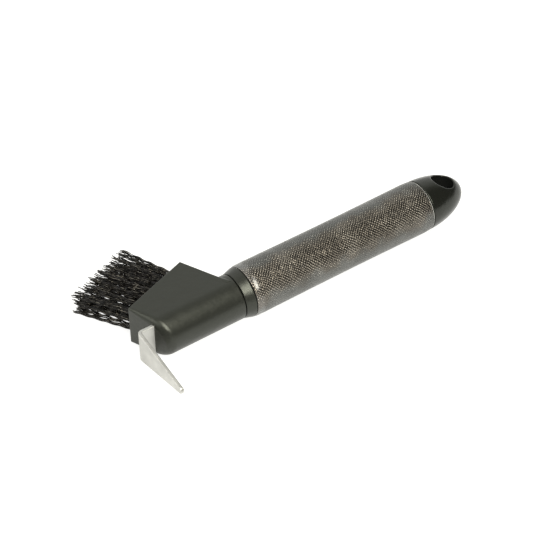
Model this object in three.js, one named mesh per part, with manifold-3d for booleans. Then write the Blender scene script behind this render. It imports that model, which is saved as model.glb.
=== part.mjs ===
// Hoof pick with brush: a moulded head that holds a bent steel pick and a brush of tufts,
// a round handle with a patterned sleeve, and a domed end cap with a hang hole.
// Millimetres, +Z up. The handle lies along +X from the head to the butt, the bristles point
// towards +Y and the pick towards -Y. The origin is at the bottom centre of the whole part.

import * as THREE from 'three';
import { mergeVertices } from 'three/addons/utils/BufferGeometryUtils.js';
import Module from 'manifold-3d';

const wasm = await Module();
wasm.setup();

// ---------------------------------------------------------------- driving dimensions

const GAP = 0.3;                  // clearance between pieces that touch

const HEAD_R = 10.8;              // round part of the head; its flat brush block is 2 * HEAD_R thick
const HEAD_END_X = 42.1;          // rear face of the head
const HEAD_TILT = 19;             // degrees: the brush face and the front face are turned this much
const FRONT_X = -0.4;             // where the tilted front face crosses the line y = FRONT_Y
const FRONT_Y = -2.3;
const FRONT_FILLET = 3.2;         // rounding of the round part's front rim
const SHEAR_LENGTH = 24;          // the tilt of the front face dies out over this length of the head
const FACE_START_Y = 11.2;        // front corner of the brush face
const FACE_LENGTH = 36.2;         // length of the brush face
const BLOCK_FOOT_X = 40.6;        // where the rear face of the block reaches the axis
const BLOCK_BEVEL = 0.5;

const STRIP_T = 1.6;              // steel strip of the pick
const STRIP_W = 16.5;
const STRIP_FACE_Y = -2.45;       // face of the strip on the pick's side
const BLADE_FACE_X = -8.3;        // front of the bend
const BEND_R = 2.1;               // outside of the bend
const BLADE_LEAN = 1.1;           // degrees that the blade runs back towards its tip
const BLADE_TIP_Y = -35.1;
const BLADE_TIP_W = 3.7;          // width just before the rounded tip
const TANG_LENGTH = 24;           // strip inside the head
const SLOT_AHEAD = 3;             // the slot for the tang runs out through the front face
const LOCK_X = 15;                // moulded pillar through the tang
const LOCK_R = 2.4;

const TUFT_COLUMNS = 7;
const TUFT_ROWS = 3;
const TUFT_FIRST = 4.3;           // first column, measured along the brush face
const TUFT_PITCH = 4.6;
const TUFT_ROW_PITCH = 4.9;
const TUFT_LEAN_FRONT = 15.5;     // degrees that the first column leans forward
const TUFT_LEAN_REAR = 6.5;
const TUFT_LENGTH = 26.6;
const TUFT_ROOT_R = 1.7;
const TUFT_TIP_R = 2.35;
const TUFT_ROOT_EDGE = 0.5;       // broken edge at the folded end
const TUFT_CROWN_H = 1.2;         // rounded-off end of the tuft
const TUFT_CROWN_SHARE = 0.6;     // flat middle of that end, as a share of its radius
const HOLE_R = TUFT_ROOT_R + GAP;
const HOLE_DEPTH = 8.6;
const CUTTER_STANDOFF = 2;        // a cutter stands this far out of the face it cuts

const STAPLE_W = 3.4;             // flat wire anchor that the tuft is folded around
const STAPLE_H = 1.5;
const STAPLE_T = 0.4;
const STAPLE_DEPTH = 6.6;         // middle of the anchor below the brush face

const SPIGOT_R = 5.9;             // stub on the head and plug on the cap
const SPIGOT_LENGTH = 26;
const SPIGOT_RING_PITCH = 5;
const SPIGOT_RING_DEPTH = 0.5;
const SPIGOT_RING_HALF = 1;       // half the width of a ring groove
const SPIGOT_CHAMFER = 1;
const SPIGOT_ROOT = 1;            // overlap with the body that carries it

const COLLAR_START_X = 42.6;      // leaves the thin dark groove behind the head
const COLLAR_END_X = 47.3;
const COLLAR_EDGE = 0.5;          // rounding of the collar's rear rim
const GRIP_FRONT_R = 12.15;       // rear rim of the collar
const GRIP_WAIST_R = 11.95;
const GRIP_REAR_R = 12.35;        // front rim of the end cap
const GRIP_END_X = 147.4;
const CORE_R = 10.4;
const SLEEVE_RISE = 0.34;         // the sleeve stands this far above the rims beside it
const SLEEVE_ROLL_FRONT = 3.2;    // and comes down to them over these lengths
const SLEEVE_ROLL_REAR = 6;
const SLEEVE_EDGE = 0.35;         // rounding at each end of the sleeve

const CAP_START_X = GRIP_END_X + GAP;
const CAP_END_X = 171.5;
const CAP_POWER = 1.95;           // below 2 is more pointed than an ellipse
const HANG_X = 161;
const HANG_R = 5.4;
const HANG_RIM = 0.8;             // rounding of the rim of the hang hole
const HANG_RISE = 1;              // the rim stands this far above the side of the mouth

const ROUND = 56;                 // segments round the handle
const MEDIUM = 28;                // segments round the hang hole
const FINE = 12;                  // segments round the small pieces

const rad = THREE.MathUtils.degToRad;

// ---------------------------------------------------------------- helpers

function solid(geometry) {
  const bare = geometry.clone();
  bare.deleteAttribute('normal');
  bare.deleteAttribute('uv');
  const merged = mergeVertices(bare, 1e-4);
  return new wasm.Manifold(new wasm.Mesh({
    numProp: 3,
    vertProperties: new Float32Array(merged.attributes.position.array),
    triVerts: new Uint32Array(merged.index.array),
  }));
}

function geometryOf(manifold) {
  const mesh = manifold.getMesh();
  const geometry = new THREE.BufferGeometry();
  geometry.setAttribute('position', new THREE.BufferAttribute(new Float32Array(mesh.vertProperties), 3));
  geometry.setIndex(new THREE.BufferAttribute(new Uint32Array(mesh.triVerts), 1));
  geometry.computeVertexNormals();
  return geometry;
}

// Solid of revolution about the X axis. Each point is [x, radius], from front to back.
function turned(points, segments = ROUND) {
  const outline = points.map(([x, r]) => new THREE.Vector2(r, x));
  return new THREE.LatheGeometry(outline, segments).rotateZ(-Math.PI / 2);
}

function pin(radius, length, segments = FINE) {
  return new THREE.CylinderGeometry(radius, radius, length, segments);
}

// Points for evenly spaced values, both ends included.
function arc(from, to, steps, point) {
  return Array.from({ length: steps + 1 }, (_, i) => point(from + ((to - from) * i) / steps));
}

// Frame of the brush face: u runs along the face, v stands off it.
const faceU = new THREE.Vector2(Math.cos(rad(HEAD_TILT)), Math.sin(rad(HEAD_TILT)));
const faceV = new THREE.Vector2(-faceU.y, faceU.x);
const faceStart = new THREE.Vector2(
  FRONT_X - (FACE_START_Y - FRONT_Y) * Math.tan(rad(HEAD_TILT)), FACE_START_Y);

function onFace(u, v = 0) {
  return faceStart.clone().addScaledVector(faceU, u).addScaledVector(faceV, v);
}

// ---------------------------------------------------------------- head

function roundHead() {
  const rim = arc(0, Math.PI / 2, 7, (a) => [
    FRONT_FILLET - FRONT_FILLET * Math.cos(a),
    HEAD_R - FRONT_FILLET + FRONT_FILLET * Math.sin(a),
  ]);
  const body = turned([[0, 0], ...rim, [SHEAR_LENGTH, HEAD_R], [HEAD_END_X, HEAD_R], [HEAD_END_X, 0]]);
  const p = body.attributes.position;
  for (let i = 0; i < p.count; i += 1) {
    const x = p.getX(i);
    const share = Math.max(0, 1 - x / SHEAR_LENGTH);
    const tilt = (FRONT_Y - p.getY(i)) * Math.tan(rad(HEAD_TILT));
    p.setX(i, x + (FRONT_X + tilt) * share);
  }
  return body;
}

function brushBlock() {
  const tail = onFace(FACE_LENGTH);
  const noseX = FRONT_X + FRONT_Y * Math.tan(rad(HEAD_TILT));
  const outline = new THREE.Shape([
    new THREE.Vector2(noseX, 0),
    new THREE.Vector2(BLOCK_FOOT_X, 0),
    tail,
    faceStart,
  ]);
  const block = new THREE.ExtrudeGeometry(outline, {
    depth: 2 * (HEAD_R - BLOCK_BEVEL),
    bevelEnabled: true,
    bevelThickness: BLOCK_BEVEL,
    bevelSize: BLOCK_BEVEL,
    bevelOffset: -BLOCK_BEVEL,
    bevelSegments: 2,
    steps: 1,
  });
  return block.translate(0, 0, -(HEAD_R - BLOCK_BEVEL));
}

// Ringed stub from x = start; direction is 1 towards the butt and -1 towards the head.
function spigotProfile(start, direction) {
  const points = [[start, 0], [start, SPIGOT_R]];
  const plain = SPIGOT_LENGTH - SPIGOT_CHAMFER - SPIGOT_RING_HALF;
  for (let x = SPIGOT_RING_PITCH; x < plain; x += SPIGOT_RING_PITCH) {
    points.push(
      [start + direction * (x - SPIGOT_RING_HALF), SPIGOT_R],
      [start + direction * x, SPIGOT_R - SPIGOT_RING_DEPTH],
      [start + direction * (x + SPIGOT_RING_HALF), SPIGOT_R],
    );
  }
  const end = start + direction * SPIGOT_LENGTH;
  points.push(
    [end - direction * SPIGOT_CHAMFER, SPIGOT_R],
    [end, SPIGOT_R - SPIGOT_CHAMFER],
    [end, 0],
  );
  return direction > 0 ? points : points.reverse();
}

function tangSlot() {
  const length = SLOT_AHEAD + TANG_LENGTH + GAP;
  return new THREE.BoxGeometry(length, STRIP_T + 2 * GAP, STRIP_W + 2 * GAP)
    .translate(length / 2 - SLOT_AHEAD, STRIP_FACE_Y + STRIP_T / 2, 0);
}

function tuftHole(u, z) {
  const at = onFace(u, (CUTTER_STANDOFF - HOLE_DEPTH) / 2);
  return pin(HOLE_R, HOLE_DEPTH + CUTTER_STANDOFF).rotateZ(rad(HEAD_TILT)).translate(at.x, at.y, z);
}

const tuftPlaces = [];
for (let column = 0; column < TUFT_COLUMNS; column += 1) {
  for (let row = 0; row < TUFT_ROWS; row += 1) {
    tuftPlaces.push({
      u: TUFT_FIRST + column * TUFT_PITCH,
      z: (row - (TUFT_ROWS - 1) / 2) * TUFT_ROW_PITCH,
      lean: TUFT_LEAN_FRONT + ((TUFT_LEAN_REAR - TUFT_LEAN_FRONT) * column) / (TUFT_COLUMNS - 1),
    });
  }
}

function headBody() {
  const slotMiddle = STRIP_FACE_Y + STRIP_T / 2;
  const pillar = pin(LOCK_R - GAP, STRIP_T + 4 * GAP).translate(LOCK_X, slotMiddle, 0);
  let head = solid(roundHead())
    .add(solid(brushBlock()))
    .add(solid(turned(spigotProfile(HEAD_END_X - SPIGOT_ROOT, 1))))
    .subtract(solid(tangSlot()))
    .add(solid(pillar));
  for (const { u, z } of tuftPlaces) head = head.subtract(solid(tuftHole(u, z)));
  return geometryOf(head);
}

// ---------------------------------------------------------------- pick blade

const bend = new THREE.Vector2(BLADE_FACE_X + BEND_R, STRIP_FACE_Y + STRIP_T - BEND_R);

// Side outline of the bent strip, seen along Z: tang, bend and blade.
function stripOutline() {
  const lean = rad(BLADE_LEAN);
  const across = new THREE.Vector2(Math.cos(lean), Math.sin(lean));
  const down = new THREE.Vector2(across.y, -across.x);
  const outside = bend.clone().addScaledVector(across, -BEND_R);
  const tip = outside.clone().addScaledVector(down, (outside.y - BLADE_TIP_Y) / across.x);
  const outline = new THREE.Shape();
  outline.moveTo(TANG_LENGTH, STRIP_FACE_Y);
  outline.lineTo(TANG_LENGTH, STRIP_FACE_Y + STRIP_T);
  outline.absarc(bend.x, bend.y, BEND_R, Math.PI / 2, Math.PI + lean, false);
  outline.lineTo(tip.x, tip.y);
  tip.addScaledVector(across, STRIP_T);
  outline.lineTo(tip.x, tip.y);
  outline.absarc(bend.x, bend.y, BEND_R - STRIP_T, Math.PI + lean, Math.PI / 2, true);
  return outline;
}

// Front outline of the strip, seen along X: full width at the bend, then a taper to a round tip.
function bladeOutline() {
  const tipR = BLADE_TIP_W / 2;
  const tipY = BLADE_TIP_Y + tipR;
  const taper = Math.atan2(STRIP_W / 2 - tipR, bend.y - tipY);
  const outline = new THREE.Shape();
  outline.moveTo(STRIP_W / 2, BEND_R);
  outline.lineTo(-STRIP_W / 2, BEND_R);
  outline.lineTo(-STRIP_W / 2, bend.y);
  outline.absarc(0, tipY, tipR, Math.PI + taper, 2 * Math.PI - taper, false);
  outline.lineTo(STRIP_W / 2, bend.y);
  return outline;
}

function pickBlade() {
  const flat = { bevelEnabled: false, curveSegments: 8 };
  const strip = new THREE.ExtrudeGeometry(stripOutline(), { ...flat, depth: STRIP_W })
    .translate(0, 0, -STRIP_W / 2);
  const reach = TANG_LENGTH - BLADE_FACE_X + 2 * CUTTER_STANDOFF;
  const front = new THREE.ExtrudeGeometry(bladeOutline(), { ...flat, depth: reach })
    .rotateY(Math.PI / 2)
    .translate(BLADE_FACE_X - CUTTER_STANDOFF, 0, 0);
  const lockHole = pin(LOCK_R, STRIP_T + 2 * CUTTER_STANDOFF)
    .translate(LOCK_X, STRIP_FACE_Y + STRIP_T / 2, 0);
  return geometryOf(solid(strip).intersect(solid(front)).subtract(solid(lockHole)));
}

// ---------------------------------------------------------------- brush

// The tuft stands along +Y on its own origin, which lies in the brush face.
function bristleTuft(lean) {
  const root = -(STAPLE_DEPTH + STAPLE_H);
  const outline = [
    [0, root],
    [TUFT_ROOT_R - TUFT_ROOT_EDGE, root],
    [TUFT_ROOT_R, root + TUFT_ROOT_EDGE],
    [TUFT_ROOT_R, 0],
    [(TUFT_ROOT_R + TUFT_TIP_R) / 2, TUFT_LENGTH / 2],
    [TUFT_TIP_R, TUFT_LENGTH - TUFT_CROWN_H],
    [TUFT_TIP_R * TUFT_CROWN_SHARE, TUFT_LENGTH],
    [0, TUFT_LENGTH],
  ].map(([r, y]) => new THREE.Vector2(r, y));
  const tuft = new THREE.LatheGeometry(outline, FINE);
  const p = tuft.attributes.position;
  for (let i = 0; i < p.count; i += 1) {
    p.setX(i, p.getX(i) - Math.max(0, p.getY(i)) * Math.tan(rad(lean)));
  }
  const loop = new THREE.BoxGeometry(3 * TUFT_ROOT_R, STAPLE_H + GAP, STAPLE_T + 2 * GAP)
    .translate(0, -STAPLE_DEPTH, 0);
  return geometryOf(solid(tuft).subtract(solid(loop)));
}

function anchorStaple() {
  return new THREE.BoxGeometry(STAPLE_W, STAPLE_H - GAP, STAPLE_T).translate(0, -STAPLE_DEPTH, 0);
}

// ---------------------------------------------------------------- handle

// Line of the handle's rims, with the waist between them.
function gripRadius(x) {
  const t = (x - COLLAR_END_X) / (GRIP_END_X - COLLAR_END_X);
  const straight = GRIP_FRONT_R + (GRIP_REAR_R - GRIP_FRONT_R) * t;
  const middle = (GRIP_FRONT_R + GRIP_REAR_R) / 2;
  return straight - (middle - GRIP_WAIST_R) * Math.sin(Math.PI * t);
}

// Core tube with the flared collar at its front; the head's spigot and the cap's plug enter its bore.
function handleCore() {
  const rim = arc(0, Math.PI / 2, 3, (a) => [
    COLLAR_END_X - COLLAR_EDGE * (1 - Math.sin(a)),
    GRIP_FRONT_R - COLLAR_EDGE * (1 - Math.cos(a)),
  ]);
  return turned([
    [COLLAR_START_X, SPIGOT_R + GAP],
    [COLLAR_START_X, HEAD_R],
    ...rim,
    [COLLAR_END_X, CORE_R],
    [GRIP_END_X, CORE_R],
    [GRIP_END_X, SPIGOT_R + GAP],
    [COLLAR_START_X, SPIGOT_R + GAP],
  ]);
}

const sleeveStart = COLLAR_END_X + GAP;

function sleeveRadius(x) {
  const front = Math.max(0, 1 - (x - sleeveStart) / SLEEVE_ROLL_FRONT);
  const rear = Math.max(0, 1 - (GRIP_END_X - x) / SLEEVE_ROLL_REAR);
  return gripRadius(x) + SLEEVE_RISE * (1 - front * front) * (1 - rear * rear);
}

function gripSleeve() {
  const inner = CORE_R + GAP;
  const at = (x) => [x, sleeveRadius(x)];
  return turned([
    [sleeveStart, inner],
    [sleeveStart, sleeveRadius(sleeveStart) - SLEEVE_EDGE],
    ...arc(sleeveStart + SLEEVE_EDGE, sleeveStart + SLEEVE_ROLL_FRONT, 3, at),
    ...arc(sleeveStart + 2 * SLEEVE_ROLL_FRONT, GRIP_END_X - 2 * SLEEVE_ROLL_REAR, 6, at),
    ...arc(GRIP_END_X - SLEEVE_ROLL_REAR, GRIP_END_X - SLEEVE_EDGE, 4, at),
    [GRIP_END_X, sleeveRadius(GRIP_END_X) - SLEEVE_EDGE],
    [GRIP_END_X, inner],
    [sleeveStart, inner],
  ]);
}

// ---------------------------------------------------------------- end cap

function capRadius(x) {
  const t = (x - CAP_START_X) / (CAP_END_X - CAP_START_X);
  return GRIP_REAR_R * Math.sqrt(Math.max(0, 1 - t ** CAP_POWER));
}

// Cutter for the hang hole: a straight bore that opens out at both ends with a rounded rim.
function hangCutter() {
  const rimZ = Math.sqrt(capRadius(HANG_X) ** 2 - HANG_R ** 2) + HANG_RISE;
  const wide = HANG_R + 2 * HANG_RIM;
  const top = GRIP_REAR_R + CUTTER_STANDOFF;
  const flare = arc(0, Math.PI / 2, 4, (a) => [
    HANG_R + HANG_RIM * (1 - Math.cos(a)),
    rimZ - HANG_RIM * (1 - Math.sin(a)),
  ]);
  const upper = [...flare, [wide, rimZ + HANG_RIM], [wide, top], [0, top]];
  const lower = upper.map(([r, z]) => [r, -z]).reverse();
  const outline = [...lower, ...upper].map(([r, z]) => new THREE.Vector2(r, z));
  return new THREE.LatheGeometry(outline, MEDIUM).rotateX(Math.PI / 2).translate(HANG_X, 0, 0);
}

function endCap() {
  const steps = FINE;
  const dome = arc(0, ((steps - 1) / steps) * (Math.PI / 2), steps - 1, (a) => {
    const x = CAP_START_X + (CAP_END_X - CAP_START_X) * Math.sin(a);
    return [x, capRadius(x)];
  });
  return geometryOf(solid(turned([[CAP_START_X, 0], ...dome, [CAP_END_X, 0]]))
    .add(solid(turned(spigotProfile(CAP_START_X + SPIGOT_ROOT, -1))))
    .subtract(solid(hangCutter())));
}

// ---------------------------------------------------------------- assembly

const finishes = {
  plastic: { color: 0x1d1e1d, roughness: 0.5, metalness: 0 },
  steel: { color: 0xc9c8c2, roughness: 0.35, metalness: 1 },
  anchorSteel: { color: 0xb9bbbd, roughness: 0.4, metalness: 1 },
  bristle: { color: 0x0e0d0c, roughness: 0.4, metalness: 0 },
  sleeve: { color: 0x6f6b63, roughness: 0.35, metalness: 0.7 },
};

function piece(name, geometry, finish) {
  const mesh = new THREE.Mesh(geometry, new THREE.MeshStandardMaterial(finishes[finish]));
  mesh.name = name;
  return mesh;
}

const head = new THREE.Group();
head.add(piece('head_body', headBody(), 'plastic'), piece('pick_blade', pickBlade(), 'steel'));

const brush = new THREE.Group();
tuftPlaces.forEach(({ u, z, lean }, i) => {
  const number = String(i + 1).padStart(2, '0');
  const at = onFace(u);
  const place = new THREE.Group();
  place.position.set(at.x, at.y, z);
  place.rotation.z = rad(HEAD_TILT);
  place.add(piece(`bristle_tuft_${number}`, bristleTuft(lean), 'bristle'));
  place.add(piece(`anchor_staple_${number}`, anchorStaple(), 'anchorSteel'));
  brush.add(place);
});
head.add(brush);

const handle = new THREE.Group();
handle.add(
  piece('handle_core', handleCore(), 'plastic'),
  piece('grip_sleeve', gripSleeve(), 'sleeve'),
  piece('end_cap', endCap(), 'plastic'),
);

const assembly = new THREE.Group();
assembly.add(head, handle);

// Put the origin at the bottom centre of the whole part.
const bounds = new THREE.Box3().setFromObject(assembly, true);
const centre = bounds.getCenter(new THREE.Vector3());
assembly.position.set(-centre.x, -centre.y, -bounds.min.z);

const hoofPick = new THREE.Group();
hoofPick.add(assembly);

export default hoofPick;
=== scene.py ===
"""Looks of the hoof pick with brush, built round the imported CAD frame.

Shapes are worked out in the handle's own frame, in millimetres: x runs from the head to the butt,
y towards the bristles, z up, and y = z = 0 is the axis of the handle. place() turns them into metres
in the CAD frame.
"""
import math
import random

import bpy
import numpy as np
from mathutils import Matrix, Vector


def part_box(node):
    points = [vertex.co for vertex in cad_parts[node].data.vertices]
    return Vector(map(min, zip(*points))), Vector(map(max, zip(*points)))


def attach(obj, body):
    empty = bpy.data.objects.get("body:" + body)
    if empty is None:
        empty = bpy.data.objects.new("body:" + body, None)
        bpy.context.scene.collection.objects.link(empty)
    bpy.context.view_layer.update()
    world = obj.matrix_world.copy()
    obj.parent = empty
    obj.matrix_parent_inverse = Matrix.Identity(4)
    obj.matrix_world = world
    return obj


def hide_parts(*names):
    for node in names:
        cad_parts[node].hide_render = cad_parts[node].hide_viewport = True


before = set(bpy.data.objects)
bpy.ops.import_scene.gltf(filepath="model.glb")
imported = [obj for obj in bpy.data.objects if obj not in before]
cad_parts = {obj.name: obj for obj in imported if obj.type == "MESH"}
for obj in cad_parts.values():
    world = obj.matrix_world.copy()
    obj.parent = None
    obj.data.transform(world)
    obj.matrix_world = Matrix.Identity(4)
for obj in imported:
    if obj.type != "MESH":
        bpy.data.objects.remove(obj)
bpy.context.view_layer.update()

MM = 0.001

# ------------------------------------------------------------------ the frame's own sizes

sleeve_low, sleeve_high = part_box("grip_sleeve")
core_low, core_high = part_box("handle_core")
cap_low, cap_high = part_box("end_cap")
head_low, head_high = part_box("head_body")

AXIS_Y = (sleeve_low.y + sleeve_high.y) / 2
AXIS_Z = (sleeve_low.z + sleeve_high.z) / 2
GRIP_END = 147.4                                   # rear end of the sleeve, in the handle's frame
ORIGIN = Vector((sleeve_high.x - GRIP_END * MM, AXIS_Y, AXIS_Z))


def local_x(x):
    """A row-frame x in metres as millimetres along the handle."""
    return (x - ORIGIN.x) / MM


def place(points):
    """Points in the handle's frame, in millimetres, as row-frame metres."""
    return np.asarray(points, float) * MM + np.array(ORIGIN)


GAP = 0.3                                          # clearance between pieces that touch
HEAD_R = (head_high.z - head_low.z) / 2 / MM
HEAD_END = 42.1                                    # rear face of the head
COLLAR_START = local_x(core_low.x)
COLLAR_END = local_x(sleeve_low.x) - GAP
GRIP_FRONT_R = (core_high.z - core_low.z) / 2 / MM
GRIP_REAR_R = (cap_high.z - cap_low.z) / 2 / MM
GRIP_WAIST_R = 11.95
CAP_START = GRIP_END + GAP
CAP_END = local_x(cap_high.x)
CORE_R = 10.4
BORE_R = 6.2
SLEEVE_RISE = 0.34                                 # the sleeve stands this far above the rims
SLEEVE_ROLL_FRONT, SLEEVE_ROLL_REAR = 3.2, 6       # and comes down to them over these lengths

TILT = math.radians(19)                            # turn of the brush face and of the front face
FACE_U = np.array([math.cos(TILT), math.sin(TILT), 0])
FACE_V = np.array([-math.sin(TILT), math.cos(TILT), 0])
FRONT_POINT = np.array([-0.4, -2.3, 0])            # on the tilted front face
FACE_START_Y = 11.2                                # front corner of the brush face
FACE_START = np.array([
    FRONT_POINT[0] - (FACE_START_Y - FRONT_POINT[1]) * math.tan(TILT), FACE_START_Y, 0])
FACE_LENGTH = 36.2
BLOCK_FOOT = np.array([40.6, 0, 0])                # where the block's rear face meets the axis

TUFT_COLUMNS, TUFT_ROWS = 7, 3
TUFT_FIRST, TUFT_PITCH, TUFT_ROW_PITCH = 4.3, 4.6, 4.9
TUFT_LEAN_FRONT, TUFT_LEAN_REAR = 15.5, 6.5        # degrees that the end columns lean forward
TUFT_LENGTH = 26.6
TUFT_ROOT_R, TUFT_TIP_R = 1.7, 2.3
HOLE_R, HOLE_DEPTH = 2.0, 8.6

STRIP_T, STRIP_FACE_Y = 1.6, -2.45                 # steel strip, and its face on the pick's side
STRIP_W = 16.5
BEND_R = 2.1                                       # outside of the bend
TANG = 24                                          # rear end of the strip, inside the head
BLADE_FACE = -8.3                                  # front of the bend
BLADE_TIP_Y = -35.1
BLADE_TIP_W = 3.7
BLADE_LEAN = math.radians(1.1)                     # the blade runs back towards its tip


# ------------------------------------------------------------------ mesh helpers

def make_object(name, verts, faces, smooth=True):
    """A mesh object with these vertices and faces, linked to the scene."""
    mesh = bpy.data.meshes.new(name)
    mesh.from_pydata([tuple(v) for v in verts], [], [tuple(int(i) for i in f) for f in faces])
    mesh.validate()
    mesh.update()
    mesh.polygons.foreach_set("use_smooth", [smooth] * len(mesh.polygons))
    obj = bpy.data.objects.new(name, mesh)
    bpy.context.scene.collection.objects.link(obj)
    return obj


def sharp_by_angle(obj, degrees):
    """Marks edges sharper than the angle, so that smooth shading stops there."""
    obj.data.set_sharp_from_angle(angle=math.radians(degrees))


def finish_piece(obj, material, nodes):
    """Gives a piece its material and body, and lets it stand for its CAD nodes."""
    obj.data.materials.append(material)
    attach(obj, "root")
    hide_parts(*nodes)
    return obj


def turned(name, profile, segments=160):
    """Solid of revolution about the handle's axis; profile is a closed ring of (x, radius)."""
    profile = np.asarray(profile, float)
    n = len(profile)
    angles = np.linspace(0, 2 * math.pi, segments, endpoint=False)
    verts = [(x, r * math.cos(a), r * math.sin(a)) for a in angles for x, r in profile]
    faces = []
    for s in range(segments):
        t = (s + 1) % segments
        for i in range(n):
            j = (i + 1) % n
            faces.append((s * n + i, s * n + j, t * n + j, t * n + i))
    return make_object(name, place(verts), faces)


def round_corner(before, corner, after, radius, steps=5):
    """Points of a fillet at a corner of a profile."""
    before, corner, after = (np.asarray(p, float) for p in (before, corner, after))
    a = (before - corner) / np.linalg.norm(before - corner)
    b = (after - corner) / np.linalg.norm(after - corner)
    points = []
    for i in range(steps + 1):
        t = i / steps
        points.append(tuple(corner + a * radius * (1 - t) ** 2 + b * radius * t ** 2))
    return points


# ------------------------------------------------------------------ rounded solids from distances

def meet(a, b, radius):
    """Intersection of two solids given by distance, with a rounded edge."""
    u = np.maximum(a + radius, 0)
    v = np.maximum(b + radius, 0)
    return np.minimum(-radius, np.maximum(a, b)) + np.hypot(u, v)


def join(a, b, radius):
    """Union of two solids given by distance, with a fillet in the corner."""
    u = np.maximum(radius - a, 0)
    v = np.maximum(radius - b, 0)
    return np.maximum(radius, np.minimum(a, b)) - np.hypot(u, v)


def ramp(low, high, x):
    """0 below low and 1 above high, with a smooth rise between them."""
    t = np.clip((x - low) / (high - low), 0, 1)
    return t * t * (3 - 2 * t)


def gradient(distance, points, h=0.02):
    """Slope of a distance at each point, from differences over h either way."""
    g = np.empty_like(points)
    for k in range(3):
        step = np.zeros(3)
        step[k] = h
        g[:, k] = (distance(points + step) - distance(points - step)) / (2 * h)
    return g


def settled(distance, points, rounds=8, longest=0.2, least_slope=0.05):
    """Moves points onto the zero surface along the distance's slope."""
    for _ in range(rounds):
        g = gradient(distance, points)
        f = distance(points)
        move = -f / np.maximum((g * g).sum(1), least_slope)
        points = points + np.clip(move, -longest, longest)[:, None] * g
    return points


def edge_crossings(grid, value):
    """Which cells of a grid the surface crosses, and the mean of each one's edge crossings."""
    inside = value < 0
    shape = tuple(n - 1 for n in value.shape)
    total = np.zeros(shape + (3,))
    count = np.zeros(shape)

    def corner(o, a):
        """The values of a at one of the eight corners of every cell."""
        return a[o[0]:o[0] + shape[0], o[1]:o[1] + shape[1], o[2]:o[2] + shape[2]]

    offsets = [(i, j, k) for i in (0, 1) for j in (0, 1) for k in (0, 1)]
    for o in offsets:
        for k in range(3):
            if o[k]:
                continue
            q = tuple(v + (i == k) for i, v in enumerate(o))
            va, vb = corner(o, value), corner(q, value)
            crosses = corner(o, inside) != corner(q, inside)
            t = np.where(crosses, va / np.where(crosses, va - vb, 1), 0)
            point = corner(o, grid) + (corner(q, grid) - corner(o, grid)) * t[..., None]
            total += np.where(crosses[..., None], point, 0)
            count += crosses
    active = count > 0
    return active, total[active] / count[active][:, None]


def crossing_quads(inside, index, k):
    """One quad round each grid edge along axis k that crosses zero, facing outwards."""
    a, b = [(1, 2), (2, 0), (0, 1)][k]
    first = [slice(1, -1)] * 3
    first[k] = slice(0, -1)
    second = list(first)
    second[k] = slice(1, None)
    s0, s1 = inside[tuple(first)], inside[tuple(second)]
    at = np.argwhere(s0 != s1)
    base = at + np.array([0 if i == k else 1 for i in range(3)])
    ea, eb = np.zeros(3, int), np.zeros(3, int)
    ea[a], eb[b] = 1, 1
    ring = [base - ea - eb, base - eb, base, base - ea]
    quad = np.stack([index[tuple(r.T)] for r in ring], 1)
    flip = ~s0[tuple(at.T)]
    quad[flip] = quad[flip][:, ::-1]
    return quad


def net_surface(distance, low, high, step):
    """Vertices and quads of the zero surface of a distance in a box (surface nets)."""
    axes = [np.arange(a, b + step, step) for a, b in zip(low, high)]
    grid = np.stack(np.meshgrid(*axes, indexing="ij"), -1)
    value = distance(grid.reshape(-1, 3)).reshape(grid.shape[:3])
    active, verts = edge_crossings(grid, value)
    index = np.full(active.shape, -1)
    index[active] = np.arange(active.sum())
    faces = [crossing_quads(value < 0, index, k) for k in range(3)]
    return settled(distance, verts), np.concatenate(faces)


def solid_from(name, distance, low, high, step):
    """The object whose surface is the zero surface of a distance."""
    verts, faces = net_surface(distance, low, high, step)
    return make_object(name, place(verts), faces)


# ------------------------------------------------------------------ head

FRONT_FILLET = 3.2                                 # rounding of the barrel's front rim
FRONT_EDGE = 1.0                                   # which dies out to this up the block
FACE_EDGE, SIDE_EDGE, REAR_EDGE, HOLE_EDGE = 0.3, 0.45, 0.15, 0.25
FOOT_FILLET = 0.7                                  # between the block's rear face and the barrel
FOOT_FADE = (-2.5, -0.5)                           # it fades in over these distances from that face
NO_FILLET = 0.001                                  # join() needs a radius above 0
HEAD_STEP = 0.25                                   # of the grid that the head's surface comes from
HEAD_GRID_X, HEAD_GRID_Y = -8, 25                  # ends of that grid, past the front and the block
MARGIN = 1                                         # of a grid round its solid


def tuft_places():
    """Root of each tuft in the brush face, and the degrees that it leans forward."""
    for column in range(TUFT_COLUMNS):
        share = column / (TUFT_COLUMNS - 1)
        lean = TUFT_LEAN_FRONT + (TUFT_LEAN_REAR - TUFT_LEAN_FRONT) * share
        for row in range(TUFT_ROWS):
            root = FACE_START + FACE_U * (TUFT_FIRST + column * TUFT_PITCH)
            yield root + np.array([0, 0, (row - (TUFT_ROWS - 1) / 2) * TUFT_ROW_PITCH]), lean


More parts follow.
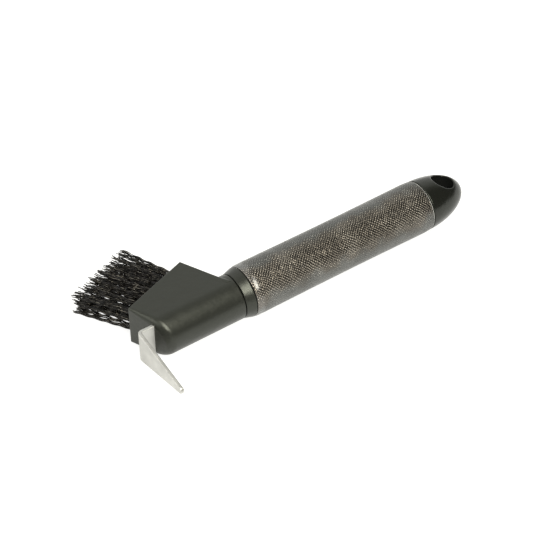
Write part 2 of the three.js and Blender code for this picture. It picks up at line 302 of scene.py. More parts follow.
def head_distance(p):
    """Distance of points from the head: flat-sided block, round barrel and tuft holes."""
    x, y, z = p[:, 0], p[:, 1], p[:, 2]
    front = -(p - FRONT_POINT) @ FACE_U
    tail = FACE_START + FACE_U * FACE_LENGTH
    along = (BLOCK_FOOT - tail) / np.linalg.norm(BLOCK_FOOT - tail)
    rear = (p - tail) @ np.array([-along[1], along[0], 0])
    face = (p - FACE_START) @ FACE_V
    side, flat = meet(face, rear, FACE_EDGE), np.abs(z) - HEAD_R
    rim = FRONT_FILLET + (FRONT_EDGE - FRONT_FILLET) * np.clip(y / FACE_START_Y, 0, 1)
    block = np.maximum(meet(side, front, FACE_EDGE), meet(side, flat, SIDE_EDGE))
    block = np.maximum(np.maximum(block, meet(front, flat, rim)), -y)
    barrel = meet(np.hypot(y, z) - HEAD_R, front, FRONT_FILLET)
    barrel = meet(barrel, x - HEAD_END, REAR_EDGE)
    fillet = FOOT_FILLET * ramp(*FOOT_FADE, rear) + NO_FILLET
    sharp = fillet <= 10 * NO_FILLET
    body = np.where(sharp, np.minimum(block, barrel), join(block, barrel, fillet))
    for root, _ in tuft_places():
        q = p - root
        u, w, d = q @ FACE_U, q[:, 2], q @ FACE_V
        hole = np.maximum(np.hypot(u, w) - HOLE_R, -HOLE_DEPTH - d)
        body = meet(body, -hole, HOLE_EDGE)
    return body


def build_head(material):
    """Head moulding with its round front, brush block and tuft holes."""
    low = (HEAD_GRID_X, -HEAD_R - MARGIN, -HEAD_R - MARGIN)
    high = (HEAD_END + MARGIN, HEAD_GRID_Y, HEAD_R + MARGIN)
    head = solid_from("head_moulding", head_distance, low, high, HEAD_STEP)
    return finish_piece(head, material, ["head_body"])


# ------------------------------------------------------------------ pick

STRIP_EDGE = 0.28                                  # rounding along the strip
STRIP_EDGE_POINTS = 5                              # points round each of its four edges
THINNEST = 0.02                                    # half width at the very tip


def strip_stations():
    """Middle of the strip, its normal and its half width, from the tang to the tip."""
    back = STRIP_FACE_Y + STRIP_T
    mid_r = BEND_R - STRIP_T / 2
    centre = np.array([BLADE_FACE + BEND_R, back - BEND_R])
    for x in np.linspace(TANG, centre[0], 14):
        yield np.array([x, back - STRIP_T / 2]), np.array([0, 1]), STRIP_W / 2
    last = math.pi + BLADE_LEAN
    for a in np.linspace(math.pi / 2, last, 15)[1:]:
        n = np.array([math.cos(a), math.sin(a)])
        yield centre + n * mid_r, n, STRIP_W / 2
    tip_r = BLADE_TIP_W / 2
    normal = np.array([math.cos(last), math.sin(last)])
    along = np.array([-normal[1], normal[0]])
    start = centre + normal * mid_r
    length = (start[1] - BLADE_TIP_Y) / math.cos(BLADE_LEAN)
    taper = (STRIP_W / 2 - tip_r) / (length - tip_r)
    for t in np.linspace(0, length - tip_r, 40)[1:]:
        yield start + along * t, normal, STRIP_W / 2 - taper * t
    for a in np.linspace(0, math.pi / 2, 14)[1:]:
        t = length - tip_r + tip_r * math.sin(a)
        yield start + along * t, normal, max(tip_r * math.cos(a), THINNEST)


def strip_section(point, normal, half):
    """Points round the strip at one station: a flat rectangle with rounded edges."""
    e = min(STRIP_EDGE, half * 0.9)
    h, t = half - e, STRIP_T / 2 - STRIP_EDGE
    for cz, ct, first in ((h, t, 0), (-h, t, 90), (-h, -t, 180), (h, -t, 270)):
        for k in range(STRIP_EDGE_POINTS):
            a = math.radians(first + k * 90 / (STRIP_EDGE_POINTS - 1))
            q = point + normal * (ct + STRIP_EDGE * math.sin(a))
            yield q[0], q[1], cz + e * math.cos(a)


def build_blade(material):
    """The bent strip as a loft of rounded rectangles from the tang to the tip."""
    stations = list(strip_stations())
    verts = [v for station in stations for v in strip_section(*station)]
    n = 4 * STRIP_EDGE_POINTS
    faces = []
    for s in range(len(stations) - 1):
        for i in range(n):
            j = (i + 1) % n
            faces.append((s * n + i, (s + 1) * n + i, (s + 1) * n + j, s * n + j))
    faces.append(tuple(range(n)))
    end = (len(stations) - 1) * n
    faces.append(tuple(end + i for i in reversed(range(n))))
    blade = make_object("steel_pick", place(verts), faces)
    sharp_by_angle(blade, 50)
    return finish_piece(blade, material, ["pick_blade"])


# ------------------------------------------------------------------ handle

FOOT_EDGE, COLLAR_EDGE = 0.25, 0.5                 # rounding of the collar's two rims
NOSE_EDGE, TAIL_EDGE = 0.3, 0.35                   # and of the sleeve's two ends


def grip_radius(x):
    """Radius of the line through the handle's rims, with the waist between them."""
    t = (x - COLLAR_END) / (GRIP_END - COLLAR_END)
    straight = GRIP_FRONT_R + (GRIP_REAR_R - GRIP_FRONT_R) * t
    middle = (GRIP_FRONT_R + GRIP_REAR_R) / 2
    return straight - (middle - GRIP_WAIST_R) * math.sin(math.pi * t)


def sleeve_radius(x):
    """Radius of the sleeve, which comes down to the rims beside it at both ends."""
    front = max(0.0, 1 - (x - COLLAR_END - GAP) / SLEEVE_ROLL_FRONT)
    rear = max(0.0, 1 - (GRIP_END - x) / SLEEVE_ROLL_REAR)
    return grip_radius(x) + SLEEVE_RISE * (1 - front ** 3) * (1 - rear ** 2)


def build_core(material):
    """Core tube with the flared collar."""
    bore, foot = (COLLAR_START, BORE_R), (COLLAR_START, HEAD_R)
    rim, seat = (COLLAR_END, GRIP_FRONT_R), (COLLAR_END, CORE_R)
    foot_edge = round_corner(bore, foot, rim, FOOT_EDGE)
    rim_edge = round_corner(foot, rim, seat, COLLAR_EDGE)
    start, end = foot_edge[-1], rim_edge[0]
    cone = [tuple(np.array(start) + (np.array(end) - np.array(start)) * t) for t in (0.25, 0.5, 0.75)]
    profile = [bore] + foot_edge + cone + rim_edge
    profile += [seat, (GRIP_END, CORE_R), (GRIP_END, BORE_R)]
    core = turned("collar_and_core", profile)
    sharp_by_angle(core, 40)
    return finish_piece(core, material, ["handle_core"])


def build_sleeve(material):
    """Grip sleeve, a thin tube round the core."""
    start, inner = COLLAR_END + GAP, CORE_R + GAP
    nose, tail = (start, sleeve_radius(start)), (GRIP_END, sleeve_radius(GRIP_END))
    front = round_corner((start, inner), nose, (start + 1, sleeve_radius(start + 1)), NOSE_EDGE)
    before_tail = (GRIP_END - 1, sleeve_radius(GRIP_END - 1))
    rear = round_corner(before_tail, tail, (GRIP_END, inner), TAIL_EDGE)
    first, last = front[-1][0], rear[0][0]
    roll = np.linspace(first, start + SLEEVE_ROLL_FRONT, 10)[1:]
    middle = np.linspace(start + 4, GRIP_END - SLEEVE_ROLL_REAR - 1, 60)
    fall = np.linspace(GRIP_END - SLEEVE_ROLL_REAR, last, 16)[:-1]
    skin = [(x, sleeve_radius(x)) for x in [*roll, *middle, *fall]]
    sleeve = turned("patterned_grip", [(start, inner)] + front + skin + rear + [(GRIP_END, inner)])
    sharp_by_angle(sleeve, 40)
    return finish_piece(sleeve, material, ["grip_sleeve"])


# ------------------------------------------------------------------ end cap

CAP_POWER = 1.95                                   # below 2 is more pointed than an ellipse
CAP_EDGE = 0.3                                     # rounding of the cap's front rim
CAP_STEP = 0.3                                     # of the grid that its surface comes from
HANG_X, HANG_R, HANG_RIM = 161, 5.4, 0.8           # hang hole, and the rounding of its rims
HANG_SHADE_REACH = 0.06                                 # faces this close to the bore get the painted shade
PLUG_R, PLUG_LENGTH, PLUG_EDGE = 5.9, 26, 0.8
PLUG_ROOT = 1                                      # the plug reaches this far into the cap
LEAST_SLOPE = 0.02                                 # keeps the division sound on the dome's axis


def cap_distance(p):
    """Distance of points from the cap: a dome with the hang hole, and the plug in front of it."""
    x, y, z = p[:, 0], p[:, 1], p[:, 2]
    length = CAP_END - CAP_START
    t = np.clip((x - CAP_START) / length, 0, None)
    r = np.hypot(y, z)
    # level set of the dome, scaled to be close to a distance
    level = (r / GRIP_REAR_R) ** 2 + t ** CAP_POWER - 1
    slope = np.hypot(2 * r / GRIP_REAR_R ** 2, CAP_POWER * t ** (CAP_POWER - 1) / length)
    dome = level / np.maximum(slope, LEAST_SLOPE)
    dome = meet(dome, CAP_START - x, CAP_EDGE)
    bore = HANG_R - np.hypot(x - HANG_X, y)
    dome = meet(dome, bore, HANG_RIM)
    plug = meet(r - PLUG_R, CAP_START - PLUG_LENGTH - x, PLUG_EDGE)
    plug = np.maximum(plug, x - CAP_START - PLUG_ROOT)
    return np.minimum(dome, plug)


def build_cap(material, hole_shade):
    """End cap, with a near-black, duller material inside its hang hole as painted shade."""
    low = (CAP_START - PLUG_LENGTH - MARGIN, -GRIP_REAR_R - MARGIN, -GRIP_REAR_R - MARGIN)
    high = (CAP_END + MARGIN, GRIP_REAR_R + MARGIN, GRIP_REAR_R + MARGIN)
    cap = solid_from("butt_cap", cap_distance, low, high, CAP_STEP)
    finish_piece(cap, material, ["end_cap"])
    cap.data.materials.append(hole_shade)
    hang = Vector(place([HANG_X, 0, 0]))
    for face in cap.data.polygons:
        if math.hypot(face.center.x - hang.x, face.center.y - hang.y) < (HANG_R + HANG_SHADE_REACH) * MM:
            face.material_index = 1
    return cap


# ------------------------------------------------------------------ bristles

FILAMENTS, FILAMENTS_MORE = 18, 7                  # in a front tuft, and how many more in a rear one
FILAMENT_R = 0.19
FILAMENT_SIDES = 6
FILAMENT_STEPS = 40
FILAMENT_START = -3.0                              # depth in its hole where a filament starts
CRIMP, CRIMP_LENGTH = 0.31, 6.0                    # half height and length of its waves
CRIMP_START = 3.0                                  # they grow over this length out of the hole
CRIMP_PHASE_SPREAD, CRIMP_PLANE_SPREAD = 0.45, 0.3
GOLDEN_ANGLE = 2.39996                             # spreads the filaments evenly over their tuft
OUTWARD = 0.42                                     # below 0.5 crowds them towards its rim
FLARE = 1.3                                        # above 1 they part mostly near their tips
ROOT_TURN, TIP_TURN = 0.25, 0.8                    # radians that a filament wanders round its tuft
TIP_SHARE = (0.7, 1.15)
CRIMP_SHARE = (0.8, 1.15)
LENGTH_OFF, LENGTH_SPREAD = -0.7, 0.9              # uneven lengths
LENGTH_LEAST, LENGTH_MOST = -2.8, 0.7
EXTRA_FRONT, EXTRA_REAR = 1.2, 1.7                 # how far the filaments stand past the tufts
TIP_LIFT = 1.3                                     # the tips stand this far above their roots
STRAY_FRONT, STRAY_REAR = 0.25, 0.6                # how far a tuft's tip strays
WIDTH_FRONT, WIDTH_REAR = 0.74, 1.2                # share of the tuft's own radius
CORNER_WIDTH = 0.18                                # added to the tufts at the low front corner
REAR_SLANT = 2.8                                   # degrees that the rear ones lean further forward
PHASE_SHAKE = 0.3                                  # between one tuft's waves and the next one's
BRISTLE_SEED = 41


def filament(rng, root, share, tuft):
    """Centre line of one crimped filament, in the handle's frame; share grows from the middle out."""
    turn = share * tuft["count"] * GOLDEN_ANGLE + rng.uniform(-ROOT_TURN, ROOT_TURN)
    spread = share ** OUTWARD
    root_r = TUFT_ROOT_R * min(1, tuft["width"]) * spread
    u0 = root_r * math.cos(turn)
    w0 = root_r * math.sin(turn)
    tip_turn = turn + rng.uniform(-TIP_TURN, TIP_TURN)
    tip_r = TUFT_TIP_R * tuft["width"] * spread * rng.uniform(*TIP_SHARE)
    u1 = tip_r * math.cos(tip_turn) + tuft["u"]
    w1 = tip_r * math.sin(tip_turn) + tuft["w"] + TIP_LIFT
    uneven = max(LENGTH_LEAST, min(LENGTH_MOST, rng.gauss(LENGTH_OFF, LENGTH_SPREAD)))
    length = TUFT_LENGTH + tuft["extra"] + uneven
    size = CRIMP * rng.uniform(*CRIMP_SHARE)
    phase = tuft["phase"] + rng.gauss(0, CRIMP_PHASE_SPREAD)
    plane = rng.gauss(math.pi / 2, CRIMP_PLANE_SPREAD)
    slope = math.tan(math.radians(tuft["lean"]))
    points = []
    for i in range(FILAMENT_STEPS + 1):
        d = FILAMENT_START + (length - FILAMENT_START) * i / FILAMENT_STEPS
        t = max(0.0, d / TUFT_LENGTH)
        grow = min(1.0, max(0.0, d / CRIMP_START))
        crimp = size * grow * math.sin(2 * math.pi * d / CRIMP_LENGTH + phase)
        u = u0 + (u1 - u0) * t ** FLARE - slope * max(0.0, d) + crimp * math.cos(plane)
        w = w0 + (w1 - w0) * t ** FLARE + crimp * math.sin(plane)
        points.append(root + FACE_U * u + FACE_V * d + np.array([0, 0, w]))
    return np.array(points)


NEVER_ALONG = np.array([0.123, 0.2, 1.0])          # a direction that no filament runs along


def tube(points, radius, sides, verts, faces):
    """Adds a closed tube round a line of points to the vertices and faces."""
    base = len(verts)
    tangent = np.gradient(points, axis=0)
    tangent /= np.linalg.norm(tangent, axis=1)[:, None]
    side = np.cross(tangent, NEVER_ALONG)
    side /= np.linalg.norm(side, axis=1)[:, None]
    up = np.cross(tangent, side)
    for p, s, u in zip(points, side, up):
        for k in range(sides):
            a = 2 * math.pi * k / sides
            verts.append(p + radius * (s * math.cos(a) + u * math.sin(a)))
    n = len(points)
    for i in range(n - 1):
        ring, following = base + i * sides, base + (i + 1) * sides
        for k in range(sides):
            m = (k + 1) % sides
            faces.append((ring + k, ring + m, following + m, following + k))
    faces.append(tuple(base + k for k in reversed(range(sides))))
    faces.append(tuple(base + (n - 1) * sides + k for k in range(sides)))


def tuft_habit(rng, column, row, lean):
    """What the filaments of one tuft share: its width, count, lean and the phase of its waves."""
    share = column / (TUFT_COLUMNS - 1)
    corner = 1 if column + row < 2 else 0
    stray = STRAY_FRONT + (STRAY_REAR - STRAY_FRONT) * share
    return {
        "u": rng.uniform(-stray, stray),
        "w": rng.uniform(-stray, stray),
        "width": WIDTH_FRONT + (WIDTH_REAR - WIDTH_FRONT) * share + CORNER_WIDTH * corner,
        "count": FILAMENTS + round(FILAMENTS_MORE * max(share, corner)),
        "phase": math.pi * ((column + row) % 2) + rng.uniform(-PHASE_SHAKE, PHASE_SHAKE),
        "extra": EXTRA_FRONT + (EXTRA_REAR - EXTRA_FRONT) * share,
        "lean": lean + REAR_SLANT * share,
    }


def build_bristles(material):
    """One object of crimped filaments for each tuft."""
    rng = random.Random(BRISTLE_SEED)
    for number, (root, lean) in enumerate(tuft_places(), 1):
        column, row = divmod(number - 1, TUFT_ROWS)
        habit = tuft_habit(rng, column, row, lean)
        verts, faces = [], []
        for k in range(habit["count"]):
            line = filament(rng, root, (k + 0.5) / habit["count"], habit)
            tube(line, FILAMENT_R, FILAMENT_SIDES, verts, faces)
        tuft = make_object(f"bristles_{number:02d}", place(verts), faces)
        sharp_by_angle(tuft, 70)
        finish_piece(tuft, material, [f"bristle_tuft_{number:02d}"])


# ------------------------------------------------------------------ materials

class Nodes:
    """A short way to write node trees; a value may be a number, a colour, a socket or a node."""

    def __init__(self, tree):
        self.tree = tree

    def add(self, kind, inputs=(), **settings):
        """A new node with these inputs, by name or number, and these settings."""
        node = self.tree.nodes.new(kind)
        for key, value in settings.items():
            setattr(node, key, value)
        for key, value in dict(inputs).items():
            self.set(node, key, value)
        return node

    def set(self, node, key, value):
        """Links a node's input to a socket or a node, or gives it a value."""
        socket = node.inputs[key]
        if isinstance(value, bpy.types.NodeSocket):
            self.tree.links.new(value, socket)
        elif isinstance(value, bpy.types.Node):
            self.tree.links.new(value.outputs[0], socket)
        else:
            socket.default_value = value

    def math(self, operation, *values, clamp=False):
        """Result of one operation on one to three values."""
        node = self.add("ShaderNodeMath", operation=operation, use_clamp=clamp)
        for i, value in enumerate(values):
            self.set(node, i, value)
        return node.outputs[0]

    def mix(self, factor, a, b):
        """Colour a at factor 0 and b at factor 1."""
        return self.add("ShaderNodeMix", {0: factor, 6: a, 7: b}, data_type="RGBA").outputs[2]

    def ramp(self, factor, stops):
        """Colour ramp through stops of (position, rgb)."""
        node = self.add("ShaderNodeValToRGB", {0: factor})
        elements = node.color_ramp.elements
        while len(elements) < len(stops):
            elements.new(0.5)
        for element, (position, colour) in zip(elements, stops):
            element.position = position
            element.color = (*colour, 1)
        return node.outputs[0]

    def noise(self, vector, scale, detail=2.0, roughness=0.5):
        """Noise from 0 to 1; scale is in cells per unit of the vector."""
        inputs = {"Vector": vector, "Scale": scale, "Detail": detail, "Roughness": roughness}
        return self.add("ShaderNodeTexNoise", inputs).outputs[0]

    def between(self, value, low, high, start, end, **settings):
        """start where value is low or less, end where it is high or more, and a rise between."""
        inputs = {"Value": value, "From Min": low, "From Max": high, "To Min": start, "To Max": end}
        return self.add("ShaderNodeMapRange", inputs, **settings).outputs[0]

    def smooth_step(self, value, low, high):
        """0 where value is low or less, 1 where it is high or more, and a smooth rise between."""
        return self.between(value, low, high, 0.0, 1.0, interpolation_type="SMOOTHSTEP")

    def bump(self, height, distance, strength=1.0, normal=None):
        """Normal of a surface raised by height times distance, on top of another normal."""
        node = self.add("ShaderNodeBump", {"Height": height, "Distance": distance, "Strength": strength})
        if normal is not None:
            self.set(node, "Normal", normal)
        return node.outputs[0]


def new_material(name):
    """A material with one principled shader, its node tree, and the place of each point."""
    material = bpy.data.materials.new(name)
    material.use_nodes = True
    tree = material.node_tree
    tree.nodes.clear()
    nodes = Nodes(tree)
    shader = nodes.add("ShaderNodeBsdfPrincipled")
    output = nodes.add("ShaderNodeOutputMaterial")
    tree.links.new(shader.outputs[0], output.inputs[0])
    coords = nodes.add("ShaderNodeTexCoord")
    return material, nodes, shader, coords.outputs["Object"]


PLASTIC_TINT = (0.95, 1, 0.83)                     # the black leans to olive
PLASTIC_CLOUDS = (0.88, 1.12)


def plastic_material(name, shade, roughness, shine=0.5):
    """Moulded black plastic: faint clouds, slow waves and a fine grain."""
    material, n, shader, where = new_material(name)
    dark, light = [(*(shade * cloud * part for part in PLASTIC_TINT), 1) for cloud in PLASTIC_CLOUDS]
    n.set(shader, "Base Color", n.mix(n.noise(where, 60, 4), dark, light))
    dust = n.noise(where, 900, 3, 0.7)
    n.set(shader, "Roughness", n.math("MULTIPLY_ADD", dust, 0.16, roughness))
    waves = n.bump(n.noise(where, 230, 2), 0.22 * MM, 0.6)
    grain = n.noise(where, 2600, 2)
    n.set(shader, "Normal", n.bump(grain, 0.04 * MM, 0.5, waves))
    shader.inputs["IOR"].default_value = 1.5
    shader.inputs["Specular IOR Level"].default_value = shine
    shader.inputs["Specular Tint"].default_value = (0.96, 1, 0.90, 1)
    return material


STEEL_LINES = (3000, 260, 3000)                    # per metre; they run along the pick
STEEL_DARK, STEEL_LIGHT = (0.48, 0.478, 0.455), (0.68, 0.677, 0.648)


def steel_material():
    """Satin steel with fine drawing lines and soft patches."""
    material, n, shader, where = new_material("satin_steel")
    stretched = n.add("ShaderNodeMapping", {"Vector": where, "Scale": STEEL_LINES})
    lines = n.noise(stretched, 1.0, 3, 0.6)
    patches = n.noise(where, 130, 3)
    tone = n.math("MULTIPLY_ADD", lines, 0.35, n.math("MULTIPLY", patches, 0.5))
    n.set(shader, "Base Color", n.ramp(tone, [(0.25, STEEL_DARK), (0.62, STEEL_LIGHT)]))
    n.set(shader, "Roughness", n.math("MULTIPLY_ADD", lines, 0.16, 0.36))
    n.set(shader, "Normal", n.bump(lines, 0.03 * MM, 0.5))
    shader.inputs["Metallic"].default_value = 1.0
    return material


WIRE_DARK, WIRE_LIGHT = (0.40, 0.41, 0.42), (0.60, 0.61, 0.62)


def anchor_material():
    """Galvanised wire with a fine spangle."""
    material, n, shader, where = new_material("anchor_wire")
    spangle = n.noise(where, 1500, 2)
    n.set(shader, "Base Color", n.ramp(spangle, [(0.3, WIRE_DARK), (0.7, WIRE_LIGHT)]))
    n.set(shader, "Roughness", n.math("MULTIPLY_ADD", spangle, 0.2, 0.3))
    shader.inputs["Metallic"].default_value = 1.0
    return material


GLINT_STREAK_TURN = TILT + math.radians(12)              # the pale streaks, painted glints, run along the filaments
GLINT_STREAK_SCALE = (2500, 85, 2500)                         # per metre, across, along and across them
NYLON_DARK = (0.0008, 0.0007, 0.0005)
NYLON_MIDDLE = (0.012, 0.010, 0.008)
NYLON_PAINTED_GLINT = (0.19, 0.177, 0.155)


def bristle_material():
    """Glossy near-black filament with short pale streaks along it, painted highlights that stand in for
    the glints on its crimps.
    """
    material, n, shader, where = new_material("black_nylon")
    turned_back = n.add("ShaderNodeMapping", {"Vector": where, "Rotation": (0, 0, -GLINT_STREAK_TURN)})
    along = n.add("ShaderNodeMapping", {"Vector": turned_back, "Scale": GLINT_STREAK_SCALE})
    glint_streaks = n.noise(along, 1.0, 2)
    # the pale end of this ramp is painted highlight: streaks standing in for crimp glints
    stops = [(0.45, NYLON_DARK), (0.58, NYLON_MIDDLE), (0.72, NYLON_PAINTED_GLINT)]
    n.set(shader, "Base Color", n.ramp(glint_streaks, stops))
    n.set(shader, "Roughness", n.math("MULTIPLY_ADD", glint_streaks, 0.1, 0.07))
    shader.inputs["IOR"].default_value = 1.52
    shader.inputs["Specular IOR Level"].default_value = 0.28
    return material


DOTS_ROUND = 50                                    # beads round the sleeve, in each row
DOT_ROW = 1.43 * MM                                # from a row to the next but one; they are staggered
BEAD_R = 0.5                                       # as a share of the distance between beads
BEAD_HEIGHT = 0.30 * MM
COAT_ROLL, COAT_SLOPE = 4.5, 0.38                  # the clear layer runs down to the front edge
COAT_THICK, COAT_THIN = 0.85, 0.1                  # its weight at that edge and behind it
COAT_FADE = 2.2                                    # it is thick as far back as this
RIM_HIGHLIGHT_WIDTH = 0.45                                  # pale ring at the rear end, a painted highlight on the sleeve's edge
RIM_HIGHLIGHT_COLOUR = (0.36, 0.36, 0.345, 1)
SLEEVE_METAL, RIM_HIGHLIGHT_METAL = 0.95, 0.05
# grey used at glancing angles: painted reflection of the clear layer
GLANCE_PAINTED_REFLECTION = [
    (0.0, (0.115, 0.116, 0.108)),
    (0.5, (0.205, 0.206, 0.196)),
    (1.0, (0.260, 0.260, 0.250)),
]
WARM = [
    (0.0, (0.100, 0.089, 0.075)),
    (0.5, (0.220, 0.203, 0.176)),
    (1.0, (0.330, 0.312, 0.278)),
]


def bead_pattern(n, where, x, y, z):
    """Height of one dome for each bead, and that height with each bead tilted its own way."""
    wander = n.add("ShaderNodeTexNoise", {"Vector": where, "Scale": 160.0, "Detail": 1.0})
    wander = n.add("ShaderNodeSeparateXYZ", {0: wander.outputs["Color"]})
    turn = n.math("ARCTAN2", n.math("SUBTRACT", y, AXIS_Y), n.math("SUBTRACT", z, AXIS_Z))
    u = n.math("MULTIPLY_ADD", turn, DOTS_ROUND / (2 * math.pi), wander.outputs[0])
    v = n.math("MULTIPLY_ADD", x, 1 / DOT_ROW, wander.outputs[1])
    a, b = n.math("ADD", u, v), n.math("SUBTRACT", u, v)
    cell_a, cell_b = n.math("ROUND", a), n.math("ROUND", b)
    in_a, in_b = n.math("SUBTRACT", a, cell_a), n.math("SUBTRACT", b, cell_b)
    distance = n.math("SQRT", n.math("MULTIPLY_ADD", in_a, in_a, n.math("MULTIPLY", in_b, in_b)))
    bead = n.math("SUBTRACT", BEAD_R, distance, clamp=True)
    hollow = n.math("SUBTRACT", BEAD_R ** 2, n.math("MULTIPLY", bead, bead))
    dome = n.math("SUBTRACT", 1.0, n.math("MULTIPLY", hollow, 1 / BEAD_R ** 2))
    cell = n.add("ShaderNodeCombineXYZ", {0: cell_a, 1: cell_b})
    chance = n.add("ShaderNodeTexWhiteNoise", {"Vector": cell}, noise_dimensions="3D")
    tilt = n.add("ShaderNodeSeparateXYZ", {0: chance.outputs["Color"]})
    tilt_a = n.math("MULTIPLY", n.math("SUBTRACT", tilt.outputs[0], 0.5), in_a)
    tilt_b = n.math("MULTIPLY", n.math("SUBTRACT", tilt.outputs[1], 0.5), in_b)
    return dome, n.math("ADD", dome, n.math("ADD", tilt_a, tilt_b))


def sleeve_colour_and_painted_reflection(n, where, dome):
    """Gunmetal that turns warm in patches where the surface faces the eye, and grey at glancing angles,
    where the grey is a painted reflection of the clear layer.
    """
    level = n.math("MULTIPLY_ADD", n.noise(where, 75, 3), 1.1, n.math("SUBTRACT", dome, 0.55))
    # the share of grey grows towards glancing angles: painted reflection, with noise to make its edge
    # wander
    painted_reflection_share = n.add("ShaderNodeLayerWeight", {"Blend": 0.5}).outputs["Facing"]
    painted_reflection_share = n.math("MULTIPLY_ADD", n.noise(where, 95, 2), 0.7, n.math("SUBTRACT", painted_reflection_share, 0.35))
    return n.mix(n.smooth_step(painted_reflection_share, 0.2, 0.5), n.ramp(level, WARM), n.ramp(level, GLANCE_PAINTED_REFLECTION))


def add_coat(n, shader, x):
    """Clear layer, thick at the front edge, where its surface runs down."""
    edge_x = ORIGIN.x + (COLLAR_END + GAP) * MM
    back_x = edge_x + COAT_ROLL * MM
    n.set(shader, "Coat Weight", n.between(x, edge_x + COAT_FADE * MM, back_x, COAT_THICK, COAT_THIN))
    fall = n.between(x, edge_x, back_x, 1.0, 0.0)
    dip = n.math("MULTIPLY", n.math("MULTIPLY", fall, fall), -1.0)
    n.set(shader, "Coat Normal", n.bump(dip, COAT_SLOPE * COAT_ROLL / 2 * MM))
    shader.inputs["Coat Roughness"].default_value = 0.24
    shader.inputs["Coat IOR"].default_value = 1.75


def sleeve_material():
    """Small metallic beads in diagonal rows, each tilted a little, under a clear glossy layer, with a
    pale ring painted at the rear end as a highlight.
    """
    material, n, shader, where = new_material("gunmetal_pattern")
    x, y, z = n.add("ShaderNodeSeparateXYZ", {0: where}).outputs
    dome, height = bead_pattern(n, where, x, y, z)
    # ring: a pale band painted at the rear end as the highlight on the sleeve's edge
    ring = n.math("GREATER_THAN", x, ORIGIN.x + (GRIP_END - RIM_HIGHLIGHT_WIDTH) * MM)
    n.set(shader, "Base Color", n.mix(ring, sleeve_colour_and_painted_reflection(n, where, dome), RIM_HIGHLIGHT_COLOUR))
    n.set(shader, "Metallic", n.math("MULTIPLY_ADD", ring, RIM_HIGHLIGHT_METAL - SLEEVE_METAL, SLEEVE_METAL))
    n.set(shader, "Normal", n.bump(height, BEAD_HEIGHT))
    shader.inputs["Roughness"].default_value = 0.26
    shader.inputs["Specular Tint"].default_value = (0.75, 0.75, 0.75, 1)
    add_coat(n, shader, x)
    return material


# ------------------------------------------------------------------ stage, light and camera

FLOOR_SIZE = 3.0                                   # metres from its middle to each side
FLOOR_GLOW, FLOOR_DIM = 0.86, 0.30                 # and how much dimmer the piece sees it in the patch
FLOOR_SHADE = (-20, 12, 0)                         # middle of that painted shadow, under the front
SHADE_FROM, SHADE_TO = 0.01, 0.06                  # the patch fades out over these distances


def build_stage():
    """Plain pale floor, with a painted shadow under the front: a dimmer patch that only the object sees.
    """
    size = FLOOR_SIZE
    verts = [(-size, -size, 0), (size, -size, 0), (size, size, 0), (-size, size, 0)]
    floor = make_object("floor", verts, [(0, 1, 2, 3)], smooth=False)
    material = bpy.data.materials.new("white_table")
    material.use_nodes = True
    shader = material.node_tree.nodes["Principled BSDF"]
    shader.inputs["Base Color"].default_value = (0.35, 0.35, 0.345, 1)
    shader.inputs["Roughness"].default_value = 0.9
    shader.inputs["Specular IOR Level"].default_value = 0.1
    shader.inputs["Emission Color"].default_value = (1, 1, 0.99, 1)
    n = Nodes(material.node_tree)
    where = n.add("ShaderNodeTexCoord").outputs["Object"]
    shade_x, shade_y, _ = place(FLOOR_SHADE)
    ends = {0: where, 1: (shade_x, shade_y, 0)}
    away = n.add("ShaderNodeVectorMath", ends, operation="DISTANCE").outputs["Value"]
    shade = n.smooth_step(away, SHADE_FROM, SHADE_TO)
    mirrored = n.math("MULTIPLY_ADD", shade, FLOOR_DIM, FLOOR_GLOW - FLOOR_DIM)
    seen = n.add("ShaderNodeLightPath").outputs["Is Camera Ray"]
    glow = n.math("MAXIMUM", mirrored, n.math("MULTIPLY", seen, FLOOR_GLOW))
    n.set(shader, "Emission Strength", glow)
    floor.data.materials.append(material)


WORLD_DIM, WORLD_RISE = 0.05, 0.93                 # in front of the object, and how much more behind
WORLD_FROM, WORLD_TO = -0.12, 0.62                 # share of +Y in a direction where it rises


def build_world():
    """White all round for the camera; for the object, bright behind it and dim above and in front."""
    world = bpy.data.worlds.new("studio")
    bpy.context.scene.world = world
    world.use_nodes = True
    tree = world.node_tree
    tree.nodes.clear()
    n = Nodes(tree)
    direction = n.add("ShaderNodeTexCoord").outputs["Generated"]
    parts = n.add("ShaderNodeSeparateXYZ", {0: direction})
    behind = n.smooth_step(parts.outputs[1], WORLD_FROM, WORLD_TO)
    level = n.math("MULTIPLY_ADD", behind, WORLD_RISE, WORLD_DIM)
    seen = n.add("ShaderNodeLightPath").outputs["Is Camera Ray"]
    strength = n.math("MAXIMUM", level, seen)
    background = n.add("ShaderNodeBackground", {"Color": (1, 1, 0.97, 1), "Strength": strength})
    output = n.add("ShaderNodeOutputWorld")
    tree.links.new(background.outputs[0], output.inputs[0])


LIGHT_DISTANCE = 0.9                               # metres
LIGHT_AIM_X = 60                                   # the lights face this point of the handle's axis


def area_light(name, direction, size, power, colour):
    """A soft box that faces the object, with its direction from it, size in metres and watts."""
    light = bpy.data.lights.new(name, "AREA")
    light.shape = "RECTANGLE"
    light.size, light.size_y = size
    light.energy = power
    light.color = colour
    obj = bpy.data.objects.new(name, light)
    bpy.context.scene.collection.objects.link(obj)
    direction = Vector(direction).normalized()
    obj.location = Vector(place([LIGHT_AIM_X, 0, 0])) + direction * LIGHT_DISTANCE
    obj.rotation_euler = direction.to_track_quat("Z", "Y").to_euler()


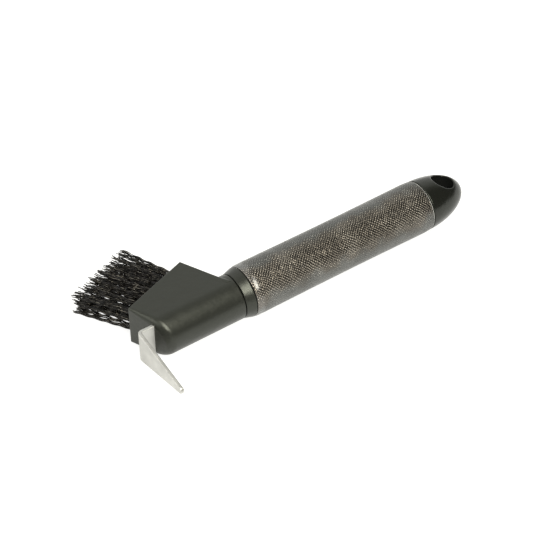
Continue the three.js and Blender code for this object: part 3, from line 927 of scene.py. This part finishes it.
CAMERA_AZIMUTH = math.radians(-124.96)
CAMERA_ELEVATION = math.radians(44.5)
CAMERA_AIM_X = 86.4                                # it looks along a line past this point of the axis
CAMERA_DISTANCE = 776.3
CAMERA_SIDE, CAMERA_RISE = -16.41, -9.27           # that line passes the point at these distances
CAMERA_LENS, CAMERA_SENSOR = 110.3, 36


def build_camera():
    """Camera that looks down at the object from in front, on the pick's side."""
    back = np.array([
        math.cos(CAMERA_ELEVATION) * math.cos(CAMERA_AZIMUTH),
        math.cos(CAMERA_ELEVATION) * math.sin(CAMERA_AZIMUTH),
        math.sin(CAMERA_ELEVATION),
    ])
    right = np.cross((0, 0, 1), back)
    right /= np.linalg.norm(right)
    up = np.cross(back, right)
    aim = np.array([CAMERA_AIM_X, 0, 0]) + right * CAMERA_SIDE + up * CAMERA_RISE
    eye = aim + back * CAMERA_DISTANCE
    data = bpy.data.cameras.new("camera")
    data.lens = CAMERA_LENS
    data.sensor_width = CAMERA_SENSOR
    camera = bpy.data.objects.new("camera", data)
    matrix = Matrix([(*right, 0), (*up, 0), (*back, 0), (0, 0, 0, 1)]).transposed()
    matrix.translation = Vector(place(eye))
    camera.matrix_world = matrix
    bpy.context.scene.collection.objects.link(camera)
    bpy.context.scene.camera = camera


# ------------------------------------------------------------------ scene

def finish_anchors(material):
    """Gives the anchor staples, which keep their CAD shapes, their material."""
    for name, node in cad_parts.items():
        if name.startswith("anchor_staple"):
            node.data.materials.clear()
            node.data.materials.append(material)


build_camera()
build_stage()
build_world()
area_light("key_box", (-0.15, -0.60, 0.785), (0.40, 0.56), 9.6, (1, 0.975, 0.87))
area_light("side_box", (-0.80, 0.06, 0.60), (0.60, 0.60), 2.6, (1, 0.99, 0.92))
area_light("top_box", (0.0, -0.22, 0.97), (0.36, 0.30), 1.1, (1, 0.98, 0.90))
bpy.context.scene.view_settings.view_transform = "Standard"

build_head(plastic_material("moulded_black", 0.0155, 0.28))
build_blade(steel_material())
build_core(plastic_material("collar_black", 0.014, 0.27))
build_sleeve(sleeve_material())
cap_plastic = plastic_material("glossy_black", 0.0105, 0.14, shine=0.4)
# the inside of the hang hole gets near-black plastic as painted shade
build_cap(cap_plastic, plastic_material("hole_painted_shade", 0.003, 0.6, shine=0.2))
build_bristles(bristle_material())

finish_anchors(anchor_material())
